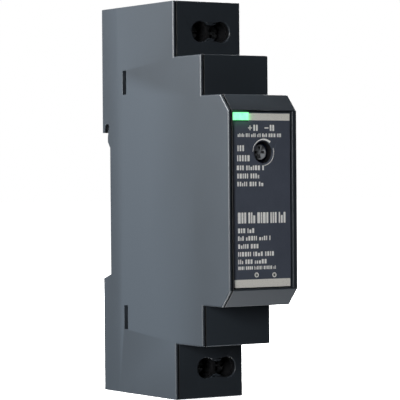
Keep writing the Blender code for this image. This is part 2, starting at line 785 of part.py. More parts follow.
def board_outline():
    """The board follows the case's steps, with the same margin all round."""
    inset = BOARD_MARGIN
    thick = WALL + inset
    points = [
        (CAVITY_REAR_Y - inset, BOARD_END_Z),
        (TERMINAL_Y + thick, BOARD_END_Z),
        (TERMINAL_Y + thick, STEP_Z - thick),
        (STEP_Y + thick, STEP_Z - thick),
        (STEP_Y + thick, NOSE_Z - thick),
        (BOARD_FRONT_Y, NOSE_Z - thick),
    ]
    return mirrored(points)


def make_board():
    board = extrusion("board", board_outline(), "X", BOARD_X, BOARD_FACE_X)
    cut(board, *snap_cutter(BOARD_X - OVER, BOARD_FACE_X + OVER, GAP))
    return finish(board, "main_board", material("board_laminate", (0.03, 0.16, 0.07), 0.5))


def make_film():
    film = extrusion("film", board_outline(), "X", FILM_X, FILM_X + FILM_THICKNESS)
    cut(film, *snap_cutter(FILM_X - OVER, FILM_X + FILM_THICKNESS + OVER, GAP))
    return finish(film, "insulation_film", material("clear_film", (0.62, 0.6, 0.5), 0.3))


def upright(name, radius, height, y, z, sides=ROUND_SIDES):
    """A round part that stands on the board."""
    return rod(name, radius, height, "X", (PARTS_X, y, z), sides)


def with_legs(obj, places, reach):
    """Joins square legs that run from the board up into the body."""
    half = LEAD_THICKNESS / 2
    for y, z in places:
        join(obj, block("leg", (PARTS_X, y - half, z - half), (PARTS_X + reach, y + half, z + half)))
    return obj


def flat_part(size, y, z, legs):
    """A moulded body of (along Y, along Z, height), raised on legs along its two long sides."""
    half_y, half_z, height = size[0] / 2, size[1] / 2, size[2]
    low_x = PARTS_X + LEAD_LIFT / 2
    body = block("body", (low_x, y - half_y, z - half_z), (PARTS_X + height, y + half_y, z + half_z))
    pitch = size[1] / legs
    places = []
    for i in range(legs):
        along = z - half_z + pitch * (i + 0.5)
        places += [(y - half_y, along), (y + half_y, along)]
    return with_legs(body, places, height / 2)


def disc_part(radius, thickness, y, z):
    """A disc on two leads, standing across the board."""
    foot = (PARTS_X + LEAD_LIFT + radius, y, z - thickness / 2)
    disc = rod("disc", radius, thickness, "Z", foot)
    spread = radius / 2
    return with_legs(disc, [(y - spread, z), (y + spread, z)], LEAD_LIFT + radius / 2)


def drum_core(radius, waist, height, flange, y, z):
    profile = [
        (0, 0),
        (radius, 0),
        (radius, flange),
        (waist, flange),
        (waist, height - flange),
        (radius, height - flange),
        (radius, height),
        (0, height),
    ]
    return turned("core", profile, "X", (PARTS_X, y, z))


def drum_choke(label, radius, height, y, z):
    core = drum_core(radius, CHOKE_WAIST, height, CHOKE_FLANGE, y, z)
    finish(core, f"{label}_core", ferrite())
    length = height - 2 * CHOKE_FLANGE - 2 * GAP
    foot = (PARTS_X + CHOKE_FLANGE + GAP, y, z)
    winding = sleeve("winding", CHOKE_WAIST + GAP, radius - GAP, length, "X", foot)
    finish(winding, f"{label}_winding", copper())


def make_input_parts():
    step_middle_y = (TERMINAL_Y + STEP_Y) / 2 + WALL
    fuse_z = -STEP_Z + WALL + GAP + FUSE_RADIUS + BOARD_MARGIN
    fuse = upright("fuse", FUSE_RADIUS, FUSE_HEIGHT, step_middle_y + GAP, fuse_z)
    finish(fuse, "input_fuse", material("fuse_case", (0.05, 0.04, 0.035), 0.4))
    thermistor_z = INPUT_END_Z + THERMISTOR_THICKNESS / 2
    disc = disc_part(THERMISTOR_RADIUS, THERMISTOR_THICKNESS, BAR_Y - THERMISTOR_FROM_BAR, thermistor_z)
    finish(disc, "inrush_thermistor", material("thermistor_coating", (0.03, 0.09, 0.05), 0.5))
    snap_y, _ = snap_places()
    wide, long, high = X_CAP
    film_cap_y = snap_y - SNAP_SLOT_DEPTH / 2 - GAP - wide / 2 - LEAD_LIFT
    film_cap_z = INPUT_END_Z + long / 2 + GAP
    film_cap = block(
        "film_cap",
        (PARTS_X, film_cap_y - wide / 2, film_cap_z - long / 2),
        (PARTS_X + high, film_cap_y + wide / 2, film_cap_z + long / 2),
    )
    finish(film_cap, "x_capacitor", material("capacitor_box", (0.72, 0.55, 0.06), 0.45))
    choke_z = thermistor_z + THERMISTOR_THICKNESS / 2 + LEAD_LIFT + CHOKE_RADIUS
    drum_choke("filter_choke", CHOKE_RADIUS, CHOKE_HEIGHT, BAR_Y - CHOKE_RADIUS, choke_z)
    bridge_z = fuse_z + FUSE_RADIUS + LEAD_LIFT + BRIDGE_BODY[1] / 2
    bridge = flat_part(BRIDGE_BODY, TERMINAL_Y - BRIDGE_FROM_STEP, bridge_z, 2)
    finish(bridge, "bridge_rectifier", black_plastic())


def make_middle_parts():
    bulk_y = NOSE_INSIDE_Y + LEAD_LIFT + BULK_RADIUS
    bulk_x = PARTS_X + BULK_RADIUS
    neck = BULK_RADIUS - BULK_EDGE
    bead_top = BULK_LENGTH - BEAD_FROM_TOP
    profile = [
        (0, 0),
        (neck, 0),
        (BULK_RADIUS, BULK_EDGE),
        (BULK_RADIUS, bead_top - BEAD_FLOOR - 2 * BEAD_SLOPE),
        (neck, bead_top - BEAD_FLOOR - BEAD_SLOPE),
        (neck, bead_top - BEAD_SLOPE),
        (BULK_RADIUS, bead_top),
        (BULK_RADIUS, BULK_LENGTH - BULK_EDGE),
        (neck, BULK_LENGTH),
        (0, BULK_LENGTH),
    ]
    bulk = turned("bulk", profile, "Z", (bulk_x, bulk_y, -NOSE_Z + WALL + LEAD_LIFT), FINE_SIDES)
    finish(bulk, "bulk_capacitor", material("capacitor_sleeve", (0.02, 0.022, 0.03), 0.35))
    chip_y = TERMINAL_Y - CHIP_FROM_STEP
    chip = flat_part(CHIP_BODY, chip_y, 0, 4)
    finish(chip, "controller_chip", black_plastic())
    foot = (PARTS_X + RESISTOR_RADIUS, chip_y, CHIP_BODY[1] / 2 + LEAD_LIFT)
    resistor = rod("resistor", RESISTOR_RADIUS, RESISTOR_LENGTH, "Z", foot, SMALL_SIDES)
    finish(resistor, "clamp_resistor", material("resistor_lacquer", (0.42, 0.5, 0.6), 0.4))
    cap_y = CAVITY_REAR_Y - LEAD_LIFT - Y_CAP_RADIUS
    blue_cap = disc_part(Y_CAP_RADIUS, Y_CAP_THICKNESS, cap_y, TRANSFORMER_Z + CORE_LEG)
    finish(blue_cap, "y_capacitor", material("capacitor_coating", (0.03, 0.16, 0.42), 0.4))
    coupler = flat_part(COUPLER_BODY, cap_y, TRANSFORMER_Z - CORE_LEG, 2)
    finish(coupler, "optocoupler", material("coupler_case", (0.7, 0.69, 0.64), 0.5))


def make_transformer():
    deep, wide, tall = CORE_SIZE
    x = PARTS_X + BOBBIN_PROUD + deep / 2
    y, z = TRANSFORMER_Y, TRANSFORMER_Z
    half_x, half_y, half_z = deep / 2, wide / 2, tall / 2
    core = block("core", (x - half_x, y - half_y, z - half_z), (x + half_x, y + half_y, z + half_z))
    window_z = half_z - CORE_YOKE
    for sign in (-1, 1):
        window_y = (y + sign * CORE_LEG / 2, y + sign * (half_y - CORE_SIDE_LEG))
        window_x = (x - half_x - OVER, x + half_x + OVER)
        cut(core, block_between("window", window_x, window_y, (z - window_z, z + window_z)))
    finish(core, "transformer_core", ferrite())

    tube_y = CORE_LEG / 2 + GAP + BOBBIN_WALL
    tube_x = half_x + GAP + BOBBIN_WALL
    flange_y = half_y - CORE_SIDE_LEG - GAP
    flange_x = half_x + BOBBIN_PROUD
    bobbin_z = window_z - GAP
    tube = block("tube", (x - tube_x, y - tube_y, z - bobbin_z), (x + tube_x, y + tube_y, z + bobbin_z))
    for sign in (-1, 1):
        heights = (z + sign * bobbin_z, z + sign * (bobbin_z - BOBBIN_FLANGE))
        flange = block_between("flange", (x - flange_x, x + flange_x), (y - flange_y, y + flange_y), heights)
        join(tube, flange)
    hole_x, hole_y = half_x + GAP, CORE_LEG / 2 + GAP
    past = bobbin_z + OVER
    cut(tube, block("hole", (x - hole_x, y - hole_y, z - past), (x + hole_x, y + hole_y, z + past)))
    finish(tube, "transformer_bobbin", material("bobbin_plastic", (0.02, 0.02, 0.022), 0.5))

    coil_z = bobbin_z - BOBBIN_FLANGE - GAP
    coil_y = flange_y - GAP
    coil_x = flange_x - GAP
    coil = block("coil", (x - coil_x, y - coil_y, z - coil_z), (x + coil_x, y + coil_y, z + coil_z))
    hole_x, hole_y = tube_x + GAP, tube_y + GAP
    cut(coil, block("hole", (x - hole_x, y - hole_y, z - past), (x + hole_x, y + hole_y, z + past)))
    finish(coil, "transformer_winding", material("winding_tape", (0.75, 0.6, 0.08), 0.4))


def make_output_parts():
    end_z = -INPUT_END_Z
    column_y = TERMINAL_Y + WALL + OUTPUT_CAP_RADIUS + LEAD_LIFT
    cap_z = end_z - GAP - OUTPUT_CAP_RADIUS
    sleeve_finish = material("capacitor_sleeve_green", (0.02, 0.10, 0.06), 0.35)
    for letter in ("a", "b"):
        cap = upright("cap", OUTPUT_CAP_RADIUS, OUTPUT_CAP_HEIGHT, column_y, cap_z)
        finish(cap, f"output_capacitor_{letter}", sleeve_finish)
        cap_z -= 2 * OUTPUT_CAP_RADIUS + LEAD_LIFT
    snap_y, _ = snap_places()
    choke_y = snap_y - SNAP_SLOT_DEPTH / 2 - GAP - LEAD_LIFT - OUTPUT_CHOKE_RADIUS
    choke_z = end_z - GAP - OUTPUT_CHOKE_RADIUS
    drum_choke("output_choke", OUTPUT_CHOKE_RADIUS, OUTPUT_CHOKE_HEIGHT, choke_y, choke_z)
    rectifier_z = choke_z - OUTPUT_CHOKE_RADIUS - LEAD_LIFT - RECTIFIER_RADIUS
    foot = (PARTS_X + RECTIFIER_RADIUS, choke_y - RECTIFIER_LENGTH / 2, rectifier_z)
    rectifier = rod("rectifier", RECTIFIER_RADIUS, RECTIFIER_LENGTH, "Y", foot)
    finish(rectifier, "output_rectifier", black_plastic())


def make_trimmer():
    half = TRIMMER_BODY / 2
    body_y = NOSE_INSIDE_Y + 2 * GAP
    x, z = ADJUSTER_X, ADJUSTER_Z
    body = block_between("body", (x - half, x + half), (body_y, body_y + TRIMMER_DEPTH), (z - half, z + half))
    seat_foot = (x, body_y - OVER, z)
    cut(body, rod("seat", ROTOR_RADIUS + GAP, ROTOR_SEAT + OVER, "Y", seat_foot))
    pin_y = body_y + TRIMMER_PIN_BACK
    legs = [(pin_y, z - TRIMMER_PIN_FROM_MIDDLE), (pin_y, z + TRIMMER_PIN_FROM_MIDDLE)]
    with_legs(body, legs, x - half / 2 - PARTS_X)
    finish(body, "trimmer_body", material("trimmer_blue", (0.03, 0.10, 0.36), 0.4))

    rotor_y = LABEL_Y + ROTOR_FROM_LABEL
    length = body_y + ROTOR_SEAT - GAP - rotor_y
    rotor = rod("rotor", ROTOR_RADIUS, length, "Y", (x, rotor_y, z))
    half_slot = DRIVE_SLOT_WIDTH / 2
    reach = ROTOR_SLOT_REACH
    depth = (rotor_y - OVER, rotor_y + ROTOR_SLOT_DEPTH)
    slot = block_between("slot", (x - reach, x + reach), depth, (z - half_slot, z + half_slot))
    join(slot, block_between("cross", (x - half_slot, x + half_slot), depth, (z - reach, z + reach)))
    cut(rotor, slot)
    finish(rotor, "trimmer_rotor", material("rotor_white", (0.75, 0.75, 0.72), 0.45), (x, rotor_y, z))


def make_led():
    thick, deep, high = LED_BODY
    _, _, low, top = window_box()
    middle = (low + top) / 2
    led = block(
        "led",
        (PARTS_X, BOARD_FRONT_Y, middle - high / 2),
        (PARTS_X + thick, BOARD_FRONT_Y + deep, middle + high / 2),
    )
    return finish(led, "status_led", clear_green())


# ---------------------------------------------------------------- rail latch


def make_latch():
    plate_y = POCKET_FLOOR_Y + GAP
    tongue_y = plate_y + LATCH_PLATE
    rear_y = REAR_Y - LATCH_FROM_REAR
    foot_z = -TOP_Z + GAP
    head_z = -RAIL_EDGE_Z - HOOK_PLAY
    nose_z = -RAIL_EDGE_Z + LATCH_NOSE_REACH
    half = LATCH_WIDTH / 2
    half_tongue = LATCH_TONGUE_WIDTH / 2
    nose_y = RAIL_THICKNESS + LATCH_NOSE_PLAY
    latch = block_between("plate", (-half, half), (plate_y, tongue_y), (foot_z, head_z))
    side = [
        (tongue_y - OVER, foot_z),
        (rear_y, foot_z),
        (rear_y, nose_z - LATCH_NOSE_CHAMFER),
        (rear_y - LATCH_NOSE_CHAMFER, nose_z),
        (nose_y, nose_z),
        (nose_y, head_z),
        (tongue_y - OVER, head_z),
    ]
    join(latch, extrusion("tongue", side, "X", -half_tongue, half_tongue))
    half_window = SPRING_WINDOW_WIDTH / 2
    window_z = -TOP_Z + SPRING_WINDOW_FROM_END + GAP
    window = block_between(
        "spring_window",
        (-half_window, half_window),
        (plate_y - OVER, rear_y + OVER),
        (window_z, window_z + SPRING_WINDOW_LENGTH),
    )
    half_slot = PULL_SLOT_WIDTH / 2
    slot_z = foot_z + PULL_SLOT_FROM_END
    slot = block_between(
        "pull_slot",
        (-half_slot, half_slot),
        (plate_y - OVER, rear_y + OVER),
        (slot_z, slot_z + PULL_SLOT_HEIGHT),
    )
    cut(latch, window, slot)
    return finish(latch, "rail_latch", black_plastic(), (0, 0, -RAIL_EDGE_Z))


def spring_points():
    """Centre line of the coil, from the lug up to the latch."""
    length = SPRING_HEAD_Z - SPRING_FOOT_Z - 2 * SPRING_WIRE
    count = SPRING_TURNS * SPRING_STEPS
    points = []
    for i in range(count + 1):
        angle = tau * i / SPRING_STEPS
        height = SPRING_FOOT_Z + SPRING_WIRE + length * i / count
        points.append((SPRING_RADIUS * cos(angle), SPRING_Y + SPRING_RADIUS * sin(angle), height))
    return points


def make_spring():
    curve = bpy.data.curves.new("spring", "CURVE")
    curve.dimensions = "3D"
    curve.bevel_depth = SPRING_WIRE
    curve.bevel_resolution = 1
    curve.use_fill_caps = True
    spline = curve.splines.new("POLY")
    places = spring_points()
    spline.points.add(len(places) - 1)
    for point, place in zip(spline.points, places):
        point.co = (*place, 1.0)
    obj = bpy.data.objects.new("latch_spring", curve)
    bpy.context.scene.collection.objects.link(obj)
    curve.materials.append(steel("spring_steel"))
    return obj


def main():
    clear_scene()
    make_housing()
    make_cover()
    make_label()
    make_window()
    make_terminals()
    make_board()
    make_film()
    make_input_parts()
    make_middle_parts()
    make_transformer()
    make_output_parts()
    make_trimmer()
    make_led()
    make_latch()
    make_spring()


main()
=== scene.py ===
import json
import math
import random

import bpy
from mathutils import Matrix, Vector

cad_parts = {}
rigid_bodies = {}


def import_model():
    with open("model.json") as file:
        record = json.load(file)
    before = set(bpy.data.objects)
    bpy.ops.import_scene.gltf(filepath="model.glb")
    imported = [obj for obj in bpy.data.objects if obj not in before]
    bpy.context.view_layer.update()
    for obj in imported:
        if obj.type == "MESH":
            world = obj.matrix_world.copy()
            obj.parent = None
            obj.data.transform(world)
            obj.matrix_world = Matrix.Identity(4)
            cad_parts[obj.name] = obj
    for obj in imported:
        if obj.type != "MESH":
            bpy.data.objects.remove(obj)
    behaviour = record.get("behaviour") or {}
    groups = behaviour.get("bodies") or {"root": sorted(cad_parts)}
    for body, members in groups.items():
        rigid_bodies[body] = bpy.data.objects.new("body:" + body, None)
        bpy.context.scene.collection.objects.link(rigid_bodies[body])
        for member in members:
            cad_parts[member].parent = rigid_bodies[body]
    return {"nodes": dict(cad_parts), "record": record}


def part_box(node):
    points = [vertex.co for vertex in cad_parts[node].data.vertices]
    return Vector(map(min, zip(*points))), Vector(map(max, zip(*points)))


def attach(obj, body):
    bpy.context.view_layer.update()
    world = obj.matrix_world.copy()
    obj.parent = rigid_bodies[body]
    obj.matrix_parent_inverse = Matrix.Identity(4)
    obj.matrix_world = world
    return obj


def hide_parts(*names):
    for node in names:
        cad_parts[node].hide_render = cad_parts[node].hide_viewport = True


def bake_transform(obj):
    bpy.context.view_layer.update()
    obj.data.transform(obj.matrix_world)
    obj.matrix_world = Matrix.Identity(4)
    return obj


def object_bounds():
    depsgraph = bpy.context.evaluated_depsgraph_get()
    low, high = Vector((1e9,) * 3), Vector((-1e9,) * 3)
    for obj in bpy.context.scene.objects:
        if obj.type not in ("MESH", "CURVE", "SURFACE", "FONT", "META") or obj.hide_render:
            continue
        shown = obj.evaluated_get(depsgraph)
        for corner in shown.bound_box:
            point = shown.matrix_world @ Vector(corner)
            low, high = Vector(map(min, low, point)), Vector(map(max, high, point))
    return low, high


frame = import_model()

MM = 0.001

# Camera: a long lens, well to the left of the front, almost level with the middle of the case.
CAMERA_PLACE = Vector((-275.147, -455.646, 4.681)) * MM
CAMERA_AZIMUTH = math.radians(-32.658)
CAMERA_ELEVATION = math.radians(0.528)
CAMERA_ROLL = math.radians(-0.444)
CAMERA_LENS = 200.81
CAMERA_SENSOR = 36.0

# Edge rounding of the mouldings and the metal parts.
COVER_RIM = 0.30 * MM
SHELL_RIM = 0.20 * MM
STEP_CORNER = 0.40 * MM
SEAM_RIM = 0.16 * MM
RECESS_RIM = 0.18 * MM
OPENING_RIM = 0.34 * MM
SLOT_EDGE = 0.03 * MM
FINE_EDGE = 0.08 * MM
METAL_EDGE = 0.03 * MM
SCREW_EDGE = 0.015 * MM
ROUND_STEPS = 3

# Angles between faces: under the first they are one plane, under the second a shallow crease.
FLAT_UNDER = math.radians(0.2)
CREASE_UNDER = math.radians(8)
SHARP = math.radians(25)
SMOOTH_UNDER = math.radians(32)
SQUARE = 0.99999
LARGE_FACE = 20 * MM * MM
WELD_DISTANCE = 0.001 * MM

# Ink on the front label stands this far off the film.
INK_HEIGHT = 0.03 * MM
INK_SUNK = 0.01 * MM

cad_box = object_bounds()


# ---------------------------------------------------------------- selection and modelling helpers

def only(*objects):
    """Selects these objects alone and makes the last one active."""
    for other in bpy.context.view_layer.objects:
        other.select_set(False)
    for one in objects:
        one.select_set(True)
    bpy.context.view_layer.objects.active = objects[-1]


def edit(piece, mode="EDGE"):
    """Opens a piece in edit mode with nothing selected."""
    only(piece)
    bpy.ops.object.mode_set(mode="EDIT")
    bpy.ops.mesh.select_mode(type=mode)
    bpy.ops.mesh.select_all(action="DESELECT")


def close_edit():
    bpy.ops.object.mode_set(mode="OBJECT")


def settle(piece):
    """Puts a piece's place, turn and scale into its mesh."""
    only(piece)
    bpy.ops.object.transform_apply(location=True, rotation=True, scale=True)


def apply_modifiers(piece):
    only(piece)
    for modifier in list(piece.modifiers):
        bpy.ops.object.modifier_apply(modifier=modifier.name)


def outward(piece):
    """Turns every face of a closed piece outwards."""
    edit(piece, "FACE")
    bpy.ops.mesh.select_all(action="SELECT")
    bpy.ops.mesh.normals_make_consistent(inside=False)
    close_edit()


def block(name, low, high):
    """A box between two corners, to be shaped further."""
    low = Vector(low)
    high = Vector(high)
    bpy.ops.mesh.primitive_cube_add(size=1, location=(low + high) / 2, scale=high - low)
    piece = bpy.context.object
    piece.name = name
    piece.data.name = name
    settle(piece)
    return piece


def round_off(piece, wanted, width, steps):
    """Rounds the edges for which wanted(start, end) is true."""
    edit(piece)
    close_edit()
    points = piece.data.vertices
    for edge in piece.data.edges:
        start, end = (points[index].co for index in edge.vertices)
        edge.select = wanted(start, end)
    bpy.ops.object.mode_set(mode="EDIT")
    bpy.ops.mesh.bevel(offset=width, segments=steps, affect="EDGES")
    close_edit()


def sharper_than(piece, angle):
    """The edges whose faces meet at more than this angle."""
    edit(piece)
    bpy.ops.mesh.edges_select_sharp(sharpness=angle)
    close_edit()
    return {edge.index for edge in piece.data.edges if edge.select}


def keep_creases(piece):
    """Marks the shallow creases between flat faces sharp, so that each face shades flat."""
    creases = sharper_than(piece, FLAT_UNDER) - sharper_than(piece, CREASE_UNDER)
    for index in creases:
        piece.data.edges[index].use_edge_sharp = True


def keep_flat(piece):
    """Marks the edges round the large square faces sharp, so that those faces shade flat."""
    large = {}
    for face in piece.data.polygons:
        square = max(abs(part) for part in face.normal) > SQUARE
        for key in face.edge_keys:
            large.setdefault(key, set()).add(square and face.area > LARGE_FACE)
    for edge in piece.data.edges:
        if len(large[edge.key]) == 2:
            edge.use_edge_sharp = True


def even_shading(piece):
    """Smooth rounds between flat faces that stay flat."""
    only(piece)
    bpy.ops.object.shade_smooth_by_angle(angle=SMOOTH_UNDER)
    keep_creases(piece)
    keep_flat(piece)
    weighted = piece.modifiers.new("even_normals", "WEIGHTED_NORMAL")
    weighted.keep_sharp = True
    apply_modifiers(piece)


def along(axis, start, end):
    """True for an edge that runs along X, Y or Z."""
    run = end - start
    return abs(run[axis]) > 0.999 * run.length


def placed(piece, material, body):
    """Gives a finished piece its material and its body."""
    piece.data.materials.clear()
    piece.data.materials.append(material)
    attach(piece, body)
    return piece


# ---------------------------------------------------------------- node materials

def linear(code):
    """A colour code such as "65727a" as linear red, green, blue and alpha."""
    values = [int(code[place:place + 2], 16) / 255 for place in (0, 2, 4)]
    parts = [v / 12.92 if v <= 0.04045 else ((v + 0.055) / 1.055) ** 2.4 for v in values]
    return (*parts, 1.0)


def scaled(colour, factor):
    return (*(min(1.0, part * factor) for part in colour[:3]), 1.0)


class Finish:
    """A material on the piece's own coordinates, with small tools that add its patterns."""

    def __init__(self, name, roughness, metallic=0.0, **values):
        self.material = bpy.data.materials.new(name)
        self.material.use_nodes = True
        self.tree = self.material.node_tree
        self.shader = self.tree.nodes["Principled BSDF"]
        self.shader.inputs["Roughness"].default_value = roughness
        self.shader.inputs["Metallic"].default_value = metallic
        for socket, value in values.items():
            self.shader.inputs[socket.replace("_", " ")].default_value = value

    def node(self, kind, **settings):
        made = self.tree.nodes.new("ShaderNode" + kind)
        for setting, value in settings.items():
            setattr(made, setting, value)
        return made

    def link(self, output, target):
        self.tree.links.new(output, target)

    def place(self, stretch=(1, 1, 1)):
        """The piece's own coordinates, stretched along an axis where a pattern runs."""
        source = self.node("TexCoord")
        mapping = self.node("Mapping")
        mapping.inputs["Scale"].default_value = stretch
        self.link(source.outputs["Object"], mapping.inputs["Vector"])
        return mapping.outputs["Vector"]

    def noise(self, size, detail=3.0, stretch=(1, 1, 1)):
        """Noise whose features are about `size` metres across."""
        made = self.node("TexNoise")
        made.inputs["Scale"].default_value = 1 / size
        made.inputs["Detail"].default_value = detail
        self.link(self.place(stretch), made.inputs["Vector"])
        return made.outputs["Fac"]

    def bands(self, size, axis, distortion=0.0):
        """Even bands across an axis, one each `size` metres."""
        made = self.node("TexWave", wave_type="BANDS", bands_direction=axis)
        made.inputs["Scale"].default_value = math.pi / (10 * size)
        made.inputs["Distortion"].default_value = distortion
        self.link(self.place(), made.inputs["Vector"])
        return made.outputs["Fac"]

    def ramp(self, factor, *stops):
        """Colours along a factor, given as (position, colour) pairs."""
        made = self.node("ValToRGB")
        elements = made.color_ramp.elements
        while len(elements) < len(stops):
            elements.new(0.5)
        for element, (position, colour) in zip(elements, stops):
            element.position = position
            element.color = colour
        self.link(factor, made.inputs["Fac"])
        return made.outputs["Color"]

    def mixed(self, factor, first, second):
        """first where the factor is 0, second where it is 1; second may be a plain colour."""
        made = self.node("Mix", data_type="RGBA")
        self.link(factor, made.inputs["Factor"])
        self.link(first, made.inputs["A"])
        if isinstance(second, tuple):
            made.inputs["B"].default_value = second
        else:
            self.link(second, made.inputs["B"])
        return made.outputs["Result"]

    def between(self, factor, low, high):
        """The factor's range 0.3 to 0.7 spread over low to high."""
        made = self.node("MapRange")
        made.inputs["From Min"].default_value = 0.3
        made.inputs["From Max"].default_value = 0.7
        made.inputs["To Min"].default_value = low
        made.inputs["To Max"].default_value = high
        self.link(factor, made.inputs["Value"])
        return made.outputs["Result"]

    def raised(self, height, depth, strength=1.0):
        """Relief of `depth` metres read from a height."""
        made = self.node("Bump")
        made.inputs["Distance"].default_value = depth
        made.inputs["Strength"].default_value = strength
        self.link(height, made.inputs["Height"])
        self.link(made.outputs["Normal"], self.shader.inputs["Normal"])

    def colour(self, output):
        self.link(output, self.shader.inputs["Base Color"])

    def roughness(self, output):
        self.link(output, self.shader.inputs["Roughness"])

    def edges(self):
        """1 on the outward edges that handling polishes, 0 on flat faces."""
        geometry = self.node("NewGeometry")
        made = self.node("MapRange")
        made.inputs["From Min"].default_value = 0.52
        made.inputs["From Max"].default_value = 0.60
        self.link(geometry.outputs["Pointiness"], made.inputs["Value"])
        return made.outputs["Result"]


def moulded(name, colour, roughness, grain=0.12 * MM, depth=0.004 * MM, spread=0.05, worn=None):
    """Moulded plastic: a fine spark-eroded grain, faint flow clouds, and edges worn lighter."""
    made = Finish(name, roughness, IOR=1.5)
    clouds = made.noise(9 * MM, 2.0)
    tone = made.ramp(clouds, (0.3, scaled(colour, 1 - spread)), (0.7, scaled(colour, 1 + spread)))
    specks = made.noise(0.3 * MM, 4.0)
    tone = made.mixed(made.between(specks, 0.0, 0.25), tone, scaled(colour, 1.3))
    if worn is not None:
        tone = made.mixed(made.edges(), tone, worn)
    made.colour(tone)
    made.roughness(made.between(made.noise(0.5 * MM, 4.0), roughness - 0.02, roughness + 0.03))
    made.raised(made.noise(grain, 2.0), depth)
    return made.material


def rolled_metal(name, colour, roughness, stretch=(1, 1, 14), depth=0.003 * MM, spangle=None):
    """Metal with drawn or rolled lines along one axis, and plating that clouds a little."""
    made = Finish(name, roughness, 1.0)
    lines = made.noise(0.6 * MM, 6.0, stretch)
    tone = made.ramp(lines, (0.35, scaled(colour, 0.72)), (0.65, colour))
    if spangle is not None:
        tone = made.mixed(made.between(made.noise(1.1 * MM, 1.0), 0.0, 0.45), tone, spangle)
    made.colour(tone)
    made.roughness(made.between(made.noise(0.8 * MM, 4.0), roughness - 0.08, roughness + 0.12))
    made.raised(lines, depth)
    return made.material


def coated(name, colour, roughness, pimple=0.5 * MM, depth=0.02 * MM, spread=0.16):
    """A dipped or painted coat with a shallow orange-peel surface."""
    made = Finish(name, roughness, Coat_Weight=0.25, Coat_Roughness=0.15)
    clouds = made.noise(2.2 * MM, 3.0)
    made.colour(made.ramp(clouds, (0.3, scaled(colour, 1 - spread)), (0.7, scaled(colour, 1 + spread))))
    made.roughness(made.between(made.noise(0.7 * MM), roughness - 0.06, roughness + 0.08))
    made.raised(made.noise(pimple, 1.5), depth)
    return made.material


def wound(name, colour, gap, wire, axis, metallic, roughness):
    """Turns of wire or tape lying side by side, one each `wire` metres."""
    made = Finish(name, roughness, metallic)
    turns = made.bands(wire, axis, 0.25)
    tone = made.ramp(turns, (0.05, gap), (0.45, colour))
    made.colour(made.mixed(made.between(made.noise(1.5 * MM), 0.0, 0.3), tone, scaled(colour, 0.75)))
    made.roughness(made.between(made.noise(0.5 * MM), roughness - 0.05, roughness + 0.1))
    made.raised(turns, wire / 4)
    return made.material


def printed_board(name):
    """Green laminate: woven glass under the mask, and copper tracks shining through."""
    made = Finish(name, 0.34, Coat_Weight=0.3, Coat_Roughness=0.2)
    weave_one = made.bands(0.45 * MM, "Y")
    weave_two = made.bands(0.45 * MM, "Z")
    cells = made.node("TexVoronoi", distance="MANHATTAN", feature="DISTANCE_TO_EDGE")
    cells.inputs["Scale"].default_value = 1 / (4.5 * MM)
    made.link(made.place(), cells.inputs["Vector"])
    cloth = made.mixed(weave_one, made.ramp(weave_two, (0.0, linear("0c3a1e")), (1.0, linear("124a28"))),
                       linear("0f4424"))
    tracks = made.ramp(cells.outputs["Distance"], (0.04, (0, 0, 0, 1)), (0.09, (1, 1, 1, 1)))
    made.colour(made.mixed(tracks, cloth, linear("1f6a3a")))
    made.roughness(made.between(made.noise(1.0 * MM), 0.26, 0.42))
    made.raised(tracks, 0.03 * MM, 0.6)
    return made.material


def clear_sheet(name):
    """A thin clear polyester sheet with faint handling haze."""
    made = Finish(name, 0.2, Transmission_Weight=0.85, IOR=1.5)
    haze = made.noise(2.5 * MM, 5.0)
    made.colour(made.ramp(haze, (0.3, linear("cdd8dc")), (0.7, linear("e6ecee"))))
    made.roughness(made.between(haze, 0.12, 0.34))
    made.raised(made.noise(1.2 * MM, 2.0), 0.01 * MM)
    return made.material


def lit_window(name):
    """The indicator's clear window with green light behind it, a little uneven from the lamp."""
    made = Finish(name, 0.18, IOR=1.49)
    glow = made.noise(1.4 * MM, 2.0)
    tone = made.ramp(glow, (0.2, linear("7cf5aa")), (0.8, linear("a4ffc8")))
    made.colour(tone)
    made.link(tone, made.shader.inputs["Emission Color"])
    made.shader.inputs["Emission Strength"].default_value = 0.92
    made.raised(made.bands(0.35 * MM, "X"), 0.01 * MM)
    return made.material


def label_sheet(name, colour):
    """Screen-printed polyester film: a fine emboss and a satin sheen."""
    made = Finish(name, 0.5, IOR=1.5)
    clouds = made.noise(5 * MM, 3.0)
    tone = made.ramp(clouds, (0.3, scaled(colour, 0.92)), (0.7, scaled(colour, 1.08)))
    mesh_print = made.noise(0.16 * MM, 2.0)
    made.colour(made.mixed(made.between(mesh_print, 0.0, 0.3), tone, scaled(colour, 0.7)))
    made.roughness(made.between(mesh_print, 0.44, 0.58))
    made.raised(mesh_print, 0.003 * MM)
    return made.material


def ink(name, colour):
    """Screen ink with small pinholes where the film shows through."""
    made = Finish(name, 0.55)
    pinholes = made.noise(0.12 * MM, 3.0)
    made.colour(made.ramp(pinholes, (0.28, scaled(colour, 0.55)), (0.42, colour)))
    made.roughness(made.between(pinholes, 0.48, 0.62))
    made.raised(pinholes, 0.004 * MM)
    return made.material


